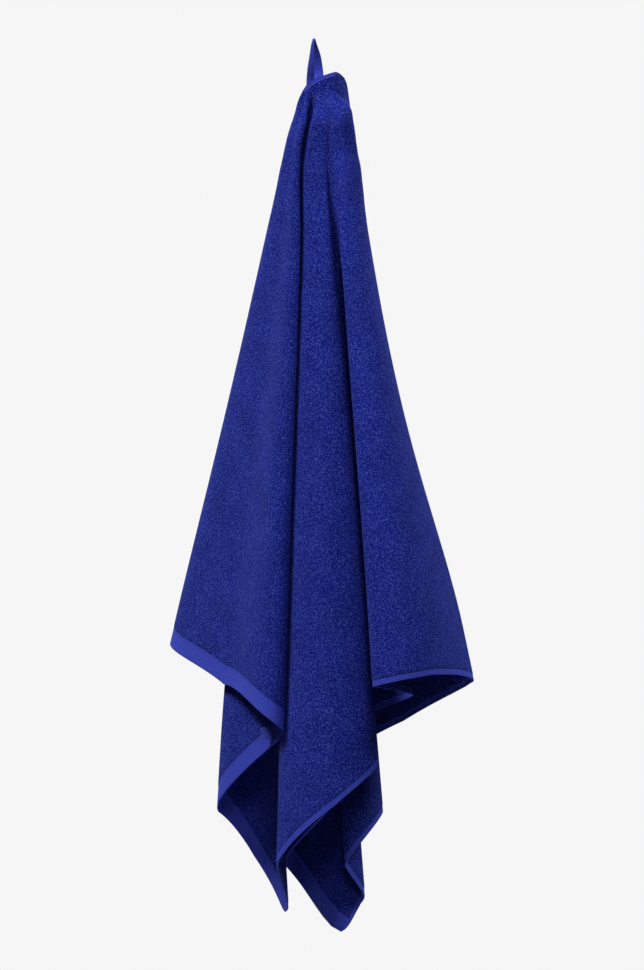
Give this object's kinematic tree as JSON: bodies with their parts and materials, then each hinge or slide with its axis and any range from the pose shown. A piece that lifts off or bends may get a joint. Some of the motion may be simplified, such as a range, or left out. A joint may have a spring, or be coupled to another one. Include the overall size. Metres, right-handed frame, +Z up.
{
  "type": "bath towel",
  "caption": "Terry bath towel hanging in long pleats from a tape loop sewn at the middle of one long side, with wide hems on the short ends and a small blank label.",
  "frame": {"origin": "top of the hanging loop, where a hook carries it", "axes": "+Z up, -Y towards the viewer of the picture, +X to the viewer's right; the towel hangs down along -Z"},
  "size_m": [0.358, 0.2804, 1.0358],
  "materials": {
    "terry": "royal blue looped cotton terry with smoother plain-woven hems",
    "loop_tape": "royal blue woven cotton tape",
    "label_tape": "smooth blue-grey woven tape, blank"
  },
  "bodies": {
    "root": {"towel": "terry", "hanging_loop": "loop_tape", "label": "label_tape"}
  },
  "joints": []
}
